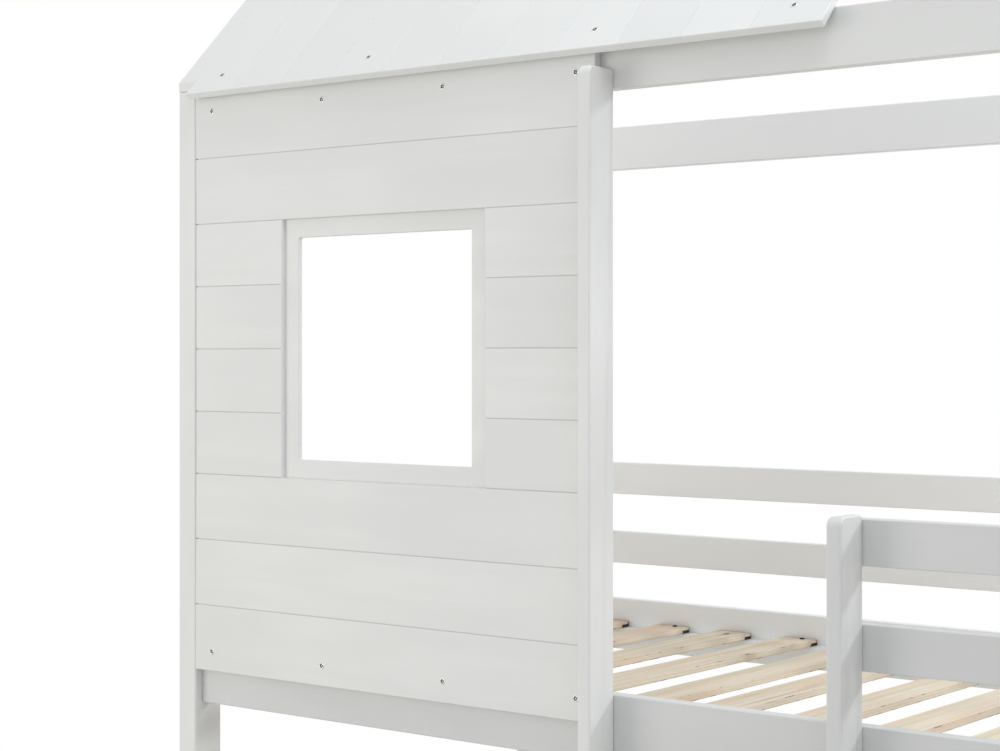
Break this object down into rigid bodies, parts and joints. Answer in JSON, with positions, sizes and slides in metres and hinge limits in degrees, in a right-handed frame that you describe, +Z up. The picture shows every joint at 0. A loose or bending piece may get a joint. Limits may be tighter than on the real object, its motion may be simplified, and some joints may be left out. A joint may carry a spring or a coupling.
{
  "type": "house bunk bed",
  "caption": "House-shaped bunk bed in white painted boards, with a grooved wall and window, part-clad roof, ladder stiles, guard boards and raw slats.",
  "frame": {"origin": "on the floor, under the middle of the bed's box", "axes": "+Z up, +X along the bed to the right as seen from the ladder side, +Y from the ladder side to the back"},
  "size_m": [2, 1.04, 2.3517],
  "materials": {
    "white_paint": "satin white paint over pine, grain just telegraphing through",
    "raw_pine": "planed raw pine with knots, no lacquer",
    "webbing": "woven polyester strip",
    "screw_steel": "zinc plated screw heads"
  },
  "bodies": {
    "root": {"post_front_left": "white_paint", "post_back_left": "white_paint", "post_front_right": "white_paint", "post_back_right": "white_paint", "upper_rail_front": "white_paint", "upper_rail_back": "white_paint", "upper_rail_left": "white_paint", "upper_rail_right": "white_paint", "upper_ledge_front": "white_paint", "upper_ledge_back": "white_paint", "lower_rail_front": "white_paint", "lower_rail_back": "white_paint", "lower_rail_left": "white_paint", "lower_rail_right": "white_paint", "lower_ledge_front": "white_paint", "lower_ledge_back": "white_paint", "upper_slat_1": "raw_pine", "upper_slat_2": "raw_pine", "upper_slat_3": "raw_pine", "upper_slat_4": "raw_pine", "upper_slat_5": "raw_pine", "upper_slat_6": "raw_pine", "upper_slat_7": "raw_pine", "upper_slat_8": "raw_pine", "upper_slat_9": "raw_pine", "upper_slat_10": "raw_pine", "upper_slat_11": "raw_pine", "upper_slat_12": "raw_pine", "upper_slat_13": "raw_pine", "upper_slat_14": "raw_pine", "lower_slat_roll": "raw_pine", "guard_front_low": "white_paint", "guard_front_high": "white_paint", "guard_back_low": "white_paint", "guard_back_high": "white_paint", "guard_left_low": "white_paint", "guard_left_high": "white_paint", "guard_right_low": "white_paint", "guard_right_high": "white_paint", "eaves_beam_front": "white_paint", "eaves_beam_back": "white_paint", "eaves_tie_left": "white_paint", "eaves_tie_right": "white_paint", "ridge_beam": "white_paint", "rafter_front_left": "white_paint", "rafter_back_left": "white_paint", "rafter_front_right": "white_paint", "rafter_back_right": "white_paint", "roof_panel": "white_paint", "wall_panel": "white_paint", "window_frame": "white_paint", "ladder_stile_tall": "white_paint", "ladder_stile_short": "white_paint", "ladder_rung_1": "white_paint", "ladder_rung_2": "white_paint", "ladder_rung_3": "white_paint"}
  },
  "joints": []
}
